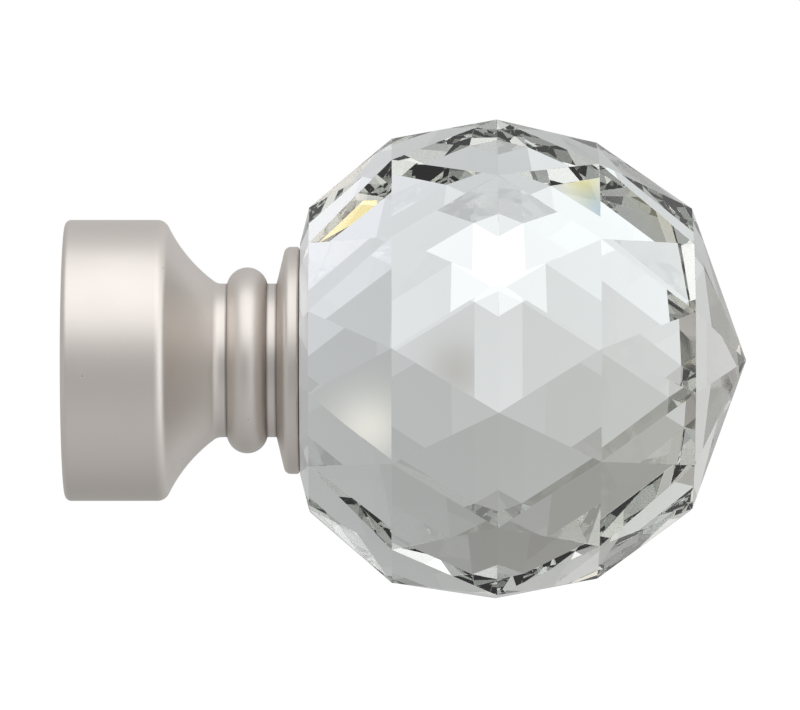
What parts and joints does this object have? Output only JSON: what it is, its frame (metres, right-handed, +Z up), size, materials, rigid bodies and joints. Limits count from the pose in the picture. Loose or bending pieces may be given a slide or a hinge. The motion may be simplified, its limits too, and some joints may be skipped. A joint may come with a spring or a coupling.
{
  "type": "curtain pole finial",
  "caption": "Curtain pole finial: a satin metal cap that slips over the pole's end, with a concave cone, a beaded neck and a flange that carries a faceted clear crystal ball.",
  "frame": {"origin": "centre of the pole socket's mouth, on the pole's axis", "axes": "+X along the pole's axis, from the socket to the crystal's tip; +Z up; +Y towards the wall behind the pole"},
  "size_m": [0.0696, 0.0488, 0.0488],
  "materials": {
    "satin_metal": "satin nickel plate over turned metal",
    "crystal": "clear, with polished flat facets",
    "screw_steel": "plain machined steel"
  },
  "bodies": {
    "root": {"metal_base": "satin_metal", "crystal_ball": "crystal", "grub_screw": "screw_steel"}
  },
  "joints": []
}
